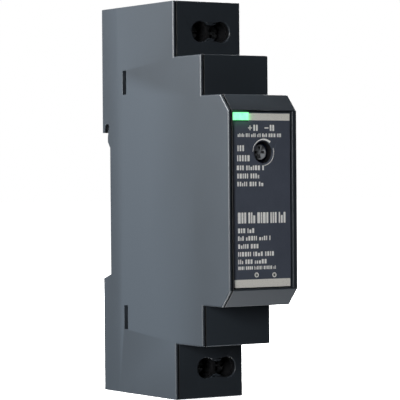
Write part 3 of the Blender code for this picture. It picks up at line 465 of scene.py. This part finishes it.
CASE_COLOUR = (0.0175, 0.0225, 0.0280, 1.0)
case_plastic = moulded("case_plastic", CASE_COLOUR, 0.42, worn=scaled(CASE_COLOUR, 1.5))
label_film = label_sheet("label_film", (0.072, 0.084, 0.112, 1.0))
pale_ink = ink("pale_ink", linear("f2f2ee"))
bar_ink = ink("bar_ink", linear("e6e4dc"))
window_glow = lit_window("window_glow")
# Black moulding for the dark inside parts; on the housing it also serves as painted shade in the recesses.
dark_moulding = moulded("dark_moulding", linear("101113"), 0.5, spread=0.2)
latch_plastic = moulded("latch_plastic", linear("26282b"), 0.48, worn=linear("4a4d52"))
spring_steel = rolled_metal("spring_steel", linear("b9bcc0"), 0.3, stretch=(1, 1, 1))
screw_steel = rolled_metal("screw_steel", linear("6c6e70"), 0.38, stretch=(1, 9, 1), spangle=linear("54585b"))
zinc_steel = rolled_metal("zinc_steel", linear("b8bcbd"), 0.36, spangle=linear("8f979b"))
tinned_brass = rolled_metal("tinned_brass", linear("c9c6b8"), 0.3, spangle=linear("b59a58"))
board_laminate = printed_board("board_laminate")
clear_film = clear_sheet("clear_film")
thermistor_coating = coated("thermistor_coating", linear("2c4a2a"), 0.42)
capacitor_box = moulded("capacitor_box", linear("d9b32a"), 0.38, worn=linear("ecd070"))
ferrite = coated("ferrite", linear("2b2a2c"), 0.6, pimple=0.25 * MM, depth=0.015 * MM, spread=0.3)
enamelled_copper = wound("enamelled_copper", linear("b4602c"), linear("3c1608"), 0.35 * MM, "Z", 0.9, 0.3)
winding_tape = wound("winding_tape", linear("d8b428"), linear("8a6a10"), 2.2 * MM, "Y", 0.0, 0.35)
capacitor_sleeve = coated("capacitor_sleeve", linear("20242c"), 0.3, pimple=1.2 * MM, depth=0.006 * MM)
resistor_lacquer = coated("resistor_lacquer", linear("8fb2c0"), 0.35)
capacitor_coating = coated("capacitor_coating", linear("2458a8"), 0.36)
coupler_case = moulded("coupler_case", linear("e2e0d6"), 0.45)
trimmer_plastic = moulded("trimmer_plastic", linear("16213a"), 0.4, worn=linear("33456c"))
rotor_plastic = moulded("rotor_plastic", linear("0b0c0e"), 0.55, worn=linear("9a9ea2"))


# ---------------------------------------------------------------- the pieces that stay as they are

INSIDE_FINISHES = (
    (board_laminate, ("main_board",)),
    (clear_film, ("insulation_film",)),
    (window_glow, ("status_led",)),
    (dark_moulding, ("input_fuse", "transformer_bobbin", "bridge_rectifier", "controller_chip",
                     "output_rectifier")),
    (thermistor_coating, ("inrush_thermistor",)),
    (capacitor_box, ("x_capacitor",)),
    (ferrite, ("filter_choke_core", "transformer_core", "output_choke_core")),
    (enamelled_copper, ("filter_choke_winding", "output_choke_winding")),
    (winding_tape, ("transformer_winding",)),
    (capacitor_sleeve, ("bulk_capacitor", "output_capacitor_a", "output_capacitor_b")),
    (resistor_lacquer, ("clamp_resistor",)),
    (capacitor_coating, ("y_capacitor",)),
    (coupler_case, ("optocoupler",)),
    (trimmer_plastic, ("trimmer_body",)),
    (tinned_brass, ("output_contact_positive", "output_contact_negative", "input_contact_neutral",
                    "input_contact_line")),
)

for material, nodes in INSIDE_FINISHES:
    for node in nodes:
        fitted = frame["nodes"][node]
        fitted.data.materials.clear()
        fitted.data.materials.append(material)


# ---------------------------------------------------------------- refined mouldings

def body_of(node):
    bodies = frame["record"]["behaviour"]["bodies"]
    return next(body for body, members in bodies.items() if node in members)


def refined(node, name, material, widths, steps=ROUND_STEPS):
    """A copy of a CAD piece whose sharp edges are rounded; widths(start, end) gives each edge's radius."""
    piece = bpy.data.objects.new(name, frame["nodes"][node].data.copy())
    bpy.context.scene.collection.objects.link(piece)
    edit(piece, "VERT")
    bpy.ops.mesh.select_all(action="SELECT")
    bpy.ops.mesh.remove_doubles(threshold=WELD_DISTANCE)
    bpy.ops.mesh.dissolve_limited(angle_limit=FLAT_UNDER)
    bpy.ops.mesh.select_all(action="SELECT")
    bpy.ops.mesh.vert_connect_concave()
    bpy.ops.mesh.select_all(action="DESELECT")
    bpy.ops.mesh.select_mode(type="EDGE")
    bpy.ops.mesh.edges_select_sharp(sharpness=SHARP)
    close_edit()
    mesh = piece.data
    sharp = [edge.select for edge in mesh.edges]
    radii = []
    for edge in mesh.edges:
        start, end = (mesh.vertices[index].co for index in edge.vertices)
        radii.append(widths(start, end) if sharp[edge.index] else 0.0)
    widest = max(radii)
    weights = mesh.attributes.new("bevel_weight_edge", "FLOAT", "EDGE")
    weights.data.foreach_set("value", [radius / widest for radius in radii])
    bevel = piece.modifiers.new("rounding", "BEVEL")
    bevel.limit_method = "WEIGHT"
    bevel.width = widest
    bevel.segments = steps
    bevel.use_clamp_overlap = False
    apply_modifiers(piece)
    low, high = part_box(node)
    for vertex in piece.data.vertices:
        for axis in range(3):
            vertex.co[axis] = min(max(vertex.co[axis], low[axis]), high[axis])
    even_shading(piece)
    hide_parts(node)
    return placed(piece, material, body_of(node))


housing_low, housing_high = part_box("main_housing")
cover_low, cover_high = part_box("side_cover")
label_low, label_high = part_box("front_label")
FRONT = housing_low.y
RIGHT = housing_high.x
LEFT = cover_low.x
SEAM = housing_low.x
RECESS_RIGHT = label_high.x + 0.3 * MM
NEAR = 0.02 * MM

# The face that the wire openings are in, how far up and down they reach, and the chambers behind.
TERMINAL_FACE = -29.8 * MM
OPENING_REACH = (35.0 * MM, 41.5 * MM)
OPENING_FACET = 3.2 * MM
CHAMBER_FRONT = -29.4 * MM
CHAMBER_BACK = -3 * MM
CHAMBER_REACH = (33.5 * MM, 43.5 * MM)
CHAMBER_HALF_WIDTH = 7.5 * MM

# The cover's snap slots, and the adjuster behind the label.
SLOT_BACK = -6.5 * MM
SLOT_FRONT = -9.5 * MM
SLOT_REACH = 31 * MM
ADJUSTER_CENTRE = Vector((0.35 * MM, 0, 10.55 * MM))
ADJUSTER_HOLE_RADIUS = 2.7 * MM


def at(value, *ends, axis):
    """True when both ends lie on the plane where this axis has this value."""
    return all(abs(end[axis] - value) < NEAR for end in ends)


def shell_widths(start, end):
    """Rounds the case's outer corners most, then the openings' rims, and everything else finely."""
    middle = (start + end) / 2
    length = (end - start).length
    ahead = middle.y < -20 * MM
    if at(RIGHT, start, end, axis=0) and length > 1.5 * MM:
        stepped = along(1, start, end) and middle.y < TERMINAL_FACE - 0.2 * MM
        return STEP_CORNER if stepped else SHELL_RIM
    if at(SEAM, start, end, axis=0) and along(2, start, end) and ahead:
        return SEAM_RIM
    by_opening = OPENING_REACH[0] < abs(middle.z) < OPENING_REACH[1] and length < OPENING_FACET
    if by_opening and at(TERMINAL_FACE, start, end, axis=1):
        return OPENING_RIM
    if along(0, start, end) and length > 12 * MM and ahead:
        return SHELL_RIM
    if at(FRONT, start, end, axis=1) and at(RECESS_RIGHT, start, end, axis=0):
        return RECESS_RIM
    return FINE_EDGE


def cover_widths(start, end):
    """The cover's outer rim has a generous radius; its inner edges are only broken."""
    middle = (start + end) / 2
    if SLOT_FRONT < middle.y < SLOT_BACK and abs(start.z) < SLOT_REACH:
        return SLOT_EDGE
    if at(LEFT, start, end, axis=0) and (end - start).length > 1.9 * MM:
        return COVER_RIM
    return FINE_EDGE


def fine_widths(start, end):
    return FINE_EDGE


def metal_widths(start, end):
    return METAL_EDGE


def screw_widths(start, end):
    return SCREW_EDGE


def in_painted_shade(place):
    """True for the snap tabs in the slots and for the walls of the wire chambers and adjuster hole: the
    recesses that get painted shade.
    """
    snap_tab = place.x < cover_high.x - 0.1 * MM
    beside_hole = Vector((place.x - ADJUSTER_CENTRE.x, 0, place.z - ADJUSTER_CENTRE.z))
    adjuster_wall = beside_hole.length < ADJUSTER_HOLE_RADIUS and place.y > label_high.y
    level = CHAMBER_REACH[0] < abs(place.z) < CHAMBER_REACH[1]
    chamber = level and CHAMBER_FRONT < place.y < CHAMBER_BACK
    return snap_tab or adjuster_wall or (chamber and abs(place.x) < CHAMBER_HALF_WIDTH)


housing_shell = refined("main_housing", "housing_shell", case_plastic, shell_widths)
# The second slot holds the dark moulding, used here as painted shade in the recesses.
housing_shell.data.materials.append(dark_moulding)

# These recessed faces get the dark moulding as painted shade, darker than the case plastic where little light
# reaches in.
for face in housing_shell.data.polygons:
    face.material_index = 1 if in_painted_shade(face.center) else 0

refined("side_cover", "cover_shell", case_plastic, cover_widths, 4)
refined("front_label", "label_panel", label_film, metal_widths, 2)
refined("rail_latch", "latch_slider", latch_plastic, fine_widths)
refined("trimmer_rotor", "adjuster_rotor", rotor_plastic, metal_widths, 2)
for side in ("output", "input"):
    refined(f"{side}_terminal_body", f"{side}_clamp_block", dark_moulding, fine_widths, 2)
for pole in ("output_{}_positive", "output_{}_negative", "input_{}_neutral", "input_{}_line"):
    screw = pole.format("screw")
    cage = pole.format("cage")
    refined(screw, screw + "_head", screw_steel, screw_widths, 2)
    refined(cage, cage + "_frame", zinc_steel, metal_widths, 2)


# ---------------------------------------------------------------- the indicator window

window_low, window_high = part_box("led_window")
WINDOW_FLANGE = 0.24 * MM
flange_back = label_low.y - 0.02 * MM
window = block("status_window", (window_low.x, flange_back, window_low.z), window_high)
edit(window, "FACE")
close_edit()
for face in window.data.polygons:
    face.select = face.normal.y < -0.9
bpy.ops.object.mode_set(mode="EDIT")
bpy.ops.mesh.extrude_region_move(TRANSFORM_OT_translate={"value": (0, 0, 0)})
window_size = window_high - window_low
wider = 1 + 2 * WINDOW_FLANGE / window_size.x
taller = 1 + WINDOW_FLANGE / window_size.z
bpy.ops.transform.resize(value=(wider, 1, taller))
bpy.ops.mesh.extrude_region_move(TRANSFORM_OT_translate={"value": (0, window_low.y - flange_back, 0)})
close_edit()
round_off(window, lambda start, end: at(window_low.y, start, end, axis=1), 0.08 * MM, 3)
even_shading(window)
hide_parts("led_window")
placed(window, window_glow, "housing")


# ---------------------------------------------------------------- printing on the front label

INK_BACK = label_low.y + INK_SUNK
INK_FACE = label_low.y - INK_HEIGHT
rng = random.Random(7)


def printed_patch(name, left, right, low, high, corner):
    """A patch of ink with rounded corners, in millimetres across and up the label."""
    patch = block(name, (left * MM, INK_FACE, low * MM), (right * MM, INK_BACK, high * MM))
    round_off(patch, lambda start, end: along(1, start, end), corner * MM, 3)
    return patch


def tick_row(left, right, low, high, tick, gap):
    """Rectangles for one line of small print: upright ticks of uneven height, in groups."""
    found = []
    place = left
    in_word = 0
    word = rng.randint(3, 6)
    while place + tick <= right + 0.01:
        top = high if rng.random() < 0.8 else low + 0.72 * (high - low)
        width = tick * rng.choice((0.7, 1.0, 1.4))
        found.append((place, place + width, low, top))
        place += width + gap
        in_word += 1
        if in_word == word:
            place += 1.6 * gap
            in_word = 0
            word = rng.randint(3, 6)
    return found


SMALL_PRINT = (
    (-6.3, 5.5, 13.85, 14.65, 0.26, 0.17),
    (-6.4, -4.1, 10.75, 12.05, 0.42, 0.28),
    (-6.5, -3.3, 8.55, 9.90, 0.42, 0.28),
    (-6.6, 0.8, 6.60, 7.65, 0.38, 0.25),
    (-6.5, -0.2, 4.80, 5.90, 0.38, 0.25),
    (-6.5, 0.5, 3.10, 4.10, 0.38, 0.25),
    (-6.4, 6.7, -5.00, -2.60, 0.50, 0.22),
    (-6.4, -1.6, -7.10, -6.05, 0.36, 0.24),
    (-6.4, 2.2, -8.75, -7.75, 0.36, 0.24),
    (-6.4, -0.4, -10.50, -9.50, 0.36, 0.24),
    (-6.4, 3.0, -12.20, -11.20, 0.36, 0.24),
    (-6.4, 1.0, -13.85, -12.85, 0.36, 0.24),
    (-6.4, 3.8, -15.10, -14.35, 0.24, 0.16),
)
# Polarity signs over the two output poles, and a plain block beside each.
SIGNS = (
    (-3.60, -2.55, 15.72, 15.98),
    (-3.20, -2.95, 15.32, 16.38),
    (-2.20, -1.75, 15.20, 16.55),
    (-1.50, -1.05, 15.20, 16.55),
    (0.75, 1.80, 15.72, 15.98),
    (2.15, 2.60, 15.20, 16.55),
    (2.85, 3.30, 15.20, 16.55),
)

rectangles = list(SIGNS)
for row in SMALL_PRINT:
    rectangles += tick_row(*row)

tick_model = printed_patch("tick_model", -0.5, 0.5, -0.5, 0.5, 0.12)
ticks = []
for left, right, low, high in rectangles:
    tick = tick_model.copy()
    tick.data = tick_model.data.copy()
    bpy.context.scene.collection.objects.link(tick)
    tick.scale = (right - left, 1, high - low)
    tick.location = ((left + right) / 2 * MM, 0, (low + high) / 2 * MM)
    ticks.append(tick)
bpy.data.objects.remove(tick_model)
only(*ticks)
bpy.ops.object.transform_apply(location=True, rotation=True, scale=True)
bpy.ops.object.join()
small_print = bpy.context.object
small_print.name = "small_print"
placed(small_print, pale_ink, "housing")

for name, left, right, low, high in (
    ("top_bar", -3.55, 7.42, 17.50, 19.02),
    ("bottom_bar", -7.42, 7.32, -19.0, -17.25),
):
    placed(printed_patch(name, left, right, low, high, 0.12), bar_ink, "housing")


def arc_mark(name, middle_radius, start, end, first_width, last_width):
    """A printed arc round the adjuster, swept clockwise and widening on its way."""
    steps = 40
    half = 0.05 * MM
    low = ADJUSTER_CENTRE + Vector((middle_radius - half, INK_FACE, 0))
    high = ADJUSTER_CENTRE + Vector((middle_radius + half, INK_BACK, 0))
    bpy.ops.mesh.primitive_plane_add(size=1, location=(low + high) / 2)
    piece = bpy.context.object
    piece.name = name
    piece.scale = (high.x - low.x, high.y - low.y, 1)
    settle(piece)
    for vertex in piece.data.vertices:
        flat = vertex.co - ADJUSTER_CENTRE
        vertex.co.x = ADJUSTER_CENTRE.x + flat.x * math.cos(start)
        vertex.co.z = ADJUSTER_CENTRE.z + flat.x * math.sin(start)
    edit(piece, "FACE")
    bpy.ops.mesh.select_all(action="SELECT")
    bpy.ops.mesh.spin(steps=steps, angle=start - end, center=ADJUSTER_CENTRE, axis=(0, -1, 0))
    close_edit()
    for vertex in piece.data.vertices:
        flat = vertex.co - ADJUSTER_CENTRE
        angle = math.atan2(flat.z, flat.x)
        swept = ((start - angle) % math.tau) / (start - end)
        swept = swept if swept <= 1.01 else 0.0
        side = 1 if math.hypot(flat.x, flat.z) > middle_radius else -1
        width = first_width + (last_width - first_width) * swept ** 1.6
        radius = middle_radius + (0.12 * MM * swept) + side * width / 2
        vertex.co.x = ADJUSTER_CENTRE.x + radius * math.cos(angle)
        vertex.co.z = ADJUSTER_CENTRE.z + radius * math.sin(angle)
    outward(piece)
    return placed(piece, pale_ink, "housing")


arc_mark("dial_sweep", 2.72 * MM, math.radians(178), math.radians(50), 0.08 * MM, 0.50 * MM)
arc_mark("dial_tail", 2.78 * MM, math.radians(18), math.radians(-84), 0.12 * MM, 0.14 * MM)


def terminal_dot(name, across, up):
    """A small ring under each input pole, in place of a letter."""
    bpy.ops.mesh.primitive_cylinder_add(
        vertices=28, radius=0.55 * MM, depth=INK_HEIGHT + INK_SUNK,
        location=(across * MM, (INK_FACE + INK_BACK) / 2, up * MM), rotation=(math.pi / 2, 0, 0),
    )
    piece = bpy.context.object
    piece.name = name
    settle(piece)
    edit(piece, "FACE")
    close_edit()
    for face in piece.data.polygons:
        face.select = face.normal.y < -0.9
    bpy.ops.object.mode_set(mode="EDIT")
    bpy.ops.mesh.inset(thickness=0.2 * MM, depth=0)
    bpy.ops.mesh.inset(thickness=0.01 * MM, depth=-INK_HEIGHT)
    close_edit()
    return placed(piece, pale_ink, "housing")


terminal_dot("neutral_ring", -1.6, -16.3)
terminal_dot("line_ring", 3.1, -16.4)


# ---------------------------------------------------------------- the latch spring

SPRING_WIRE = 0.22 * MM
SPRING_TURNS = 6
spring_low, spring_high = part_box("latch_spring")
spring_centre = (spring_low + spring_high) / 2
coil_radius = (spring_high.x - spring_low.x) / 2 - SPRING_WIRE
coil_height = spring_high.z - spring_low.z - 2 * SPRING_WIRE

bpy.ops.mesh.primitive_circle_add(
    vertices=12, radius=SPRING_WIRE, location=(coil_radius, 0, 0), rotation=(math.pi / 2, 0, 0))
spring = bpy.context.object
spring.name = "coil_spring"
settle(spring)
screw_up = spring.modifiers.new("turns", "SCREW")
screw_up.steps = 36
screw_up.render_steps = 36
screw_up.iterations = SPRING_TURNS
screw_up.screw_offset = coil_height / SPRING_TURNS
screw_up.use_smooth_shade = True
apply_modifiers(spring)
edit(spring)
bpy.ops.mesh.select_non_manifold()
bpy.ops.mesh.edge_face_add()
close_edit()
spring.location = (spring_centre.x, spring_centre.y, spring_low.z + SPRING_WIRE)
settle(spring)
outward(spring)
only(spring)
bpy.ops.object.shade_smooth_by_angle(angle=SMOOTH_UNDER)
spring.data.materials.append(spring_steel)
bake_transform(spring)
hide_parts("latch_spring")


# ---------------------------------------------------------------- floor, light and camera

def studio_floor():
    """A pale table top, so bright that it runs into the backdrop."""
    bpy.ops.mesh.primitive_plane_add(size=8, location=(0, 0, cad_box[0].z - 0.1 * MM))
    floor = bpy.context.object
    floor.name = "table_top"
    made = Finish("table_white", 0.9)
    tone = made.ramp(made.noise(60 * MM), (0.3, (0.90, 0.90, 0.90, 1)), (0.7, (0.94, 0.94, 0.94, 1)))
    made.colour(tone)
    made.shader.inputs["Emission Color"].default_value = (1, 1, 1, 1)
    made.shader.inputs["Emission Strength"].default_value = 1.0
    floor.data.materials.append(made.material)
    floor.visible_diffuse = False
    floor.visible_glossy = False
    floor.visible_shadow = False


def soft_light(name, place, target, size, watts):
    """A square soft box that points at a place and stays out of the picture."""
    light = bpy.data.lights.new(name, "AREA")
    light.shape = "SQUARE"
    light.size = size
    light.energy = watts
    lamp = bpy.data.objects.new(name, light)
    lamp.location = place
    lamp.rotation_euler = (Vector(target) - Vector(place)).to_track_quat("-Z", "Y").to_euler()
    lamp.visible_camera = False
    bpy.context.scene.collection.objects.link(lamp)


SPILL_WATTS = 0.00005
SPILL_DISTANCE = 0.6 * MM


def window_spill():
    """The green light that the indicator throws on the plastic round it."""
    light = bpy.data.lights.new("window_spill", "AREA")
    light.energy = SPILL_WATTS
    light.color = (0.03, 1.0, 0.16)
    light.shape = "RECTANGLE"
    light.size = 4.6 * MM
    light.size_y = 2.2 * MM
    lamp = bpy.data.objects.new("window_spill", light)
    middle = (window_low + window_high) / 2
    facing_panel = Vector((0, 1, 0)).to_track_quat("-Z", "Z").to_matrix().to_4x4()
    before_window = Vector((middle.x, window_low.y - SPILL_DISTANCE, middle.z))
    lamp.matrix_world = Matrix.Translation(before_window) @ facing_panel
    lamp.visible_camera = False
    lamp.visible_glossy = False
    bpy.context.scene.collection.objects.link(lamp)


def studio_world():
    """White to the eye; for lighting it is dim at the horizon and brighter from the table and above."""
    world = bpy.data.worlds.new("studio")
    world.use_nodes = True
    bpy.context.scene.world = world
    tree = world.node_tree
    tree.nodes.clear()
    place = tree.nodes.new("ShaderNodeTexCoord")
    split = tree.nodes.new("ShaderNodeSeparateXYZ")
    height = tree.nodes.new("ShaderNodeMapRange")
    height.inputs["From Min"].default_value = -1
    height.inputs["From Max"].default_value = 1
    ramp = tree.nodes.new("ShaderNodeValToRGB")
    stops = ((0.0, 0.35), (0.20, 0.16), (0.40, 0.03), (0.50, 0.015), (0.62, 0.02), (0.80, 0.08), (1.0, 0.16))
    elements = ramp.color_ramp.elements
    while len(elements) < len(stops):
        elements.new(0.5)
    for element, (position, value) in zip(elements, stops):
        element.position = position
        element.color = (value, value, value * 1.06, 1)
    seen = tree.nodes.new("ShaderNodeBackground")
    seen.inputs["Color"].default_value = (1, 1, 1, 1)
    lighting = tree.nodes.new("ShaderNodeBackground")
    path = tree.nodes.new("ShaderNodeLightPath")
    choose = tree.nodes.new("ShaderNodeMixShader")
    output = tree.nodes.new("ShaderNodeOutputWorld")
    for start, end in (
        (place.outputs["Generated"], split.inputs["Vector"]),
        (split.outputs["Z"], height.inputs["Value"]),
        (height.outputs["Result"], ramp.inputs["Fac"]),
        (ramp.outputs["Color"], lighting.inputs["Color"]),
        (path.outputs["Is Camera Ray"], choose.inputs["Fac"]),
        (lighting.outputs["Background"], choose.inputs[1]),
        (seen.outputs["Background"], choose.inputs[2]),
        (choose.outputs["Shader"], output.inputs["Surface"]),
    ):
        tree.links.new(start, end)


def camera():
    """The camera, turned from its azimuth, elevation and roll."""
    azimuth, elevation, roll = CAMERA_AZIMUTH, CAMERA_ELEVATION, CAMERA_ROLL
    back = Vector((
        math.sin(azimuth) * math.cos(elevation),
        -math.cos(azimuth) * math.cos(elevation),
        math.sin(elevation),
    ))
    level = Vector((math.cos(azimuth), math.sin(azimuth), 0))
    upright = back.cross(level)
    right = math.cos(roll) * level + math.sin(roll) * upright
    up = -math.sin(roll) * level + math.cos(roll) * upright
    lens = bpy.data.cameras.new("camera")
    lens.lens = CAMERA_LENS
    lens.sensor_width = CAMERA_SENSOR
    lens.clip_start = 0.01
    lens.clip_end = 20
    holder = bpy.data.objects.new("camera", lens)
    turn = Matrix((right, up, back)).transposed()
    holder.matrix_world = Matrix.Translation(CAMERA_PLACE) @ turn.to_4x4()
    bpy.context.scene.collection.objects.link(holder)
    bpy.context.scene.camera = holder


studio_floor()
studio_world()
soft_light("key_left", (-0.42, 0.07, 0.20), (0, -0.02, 0.01), 0.30, 8.6)
soft_light("front_left", (-0.46, -0.34, 0.10), (0, -0.04, 0), 0.20, 2.5)
soft_light("table_bounce", (0.02, 0.02, -0.45), (0.02, 0.02, 0), 0.15, 4.3)
soft_light("overhead", (0.02, 0.02, 0.50), (0.02, 0.02, 0), 0.15, 0.8)
soft_light("fill_right_rear", (0.45, 0.30, 0.20), (0, -0.02, 0), 0.30, 4.0)
window_spill()
camera()
bpy.context.scene.view_settings.view_transform = "Standard"
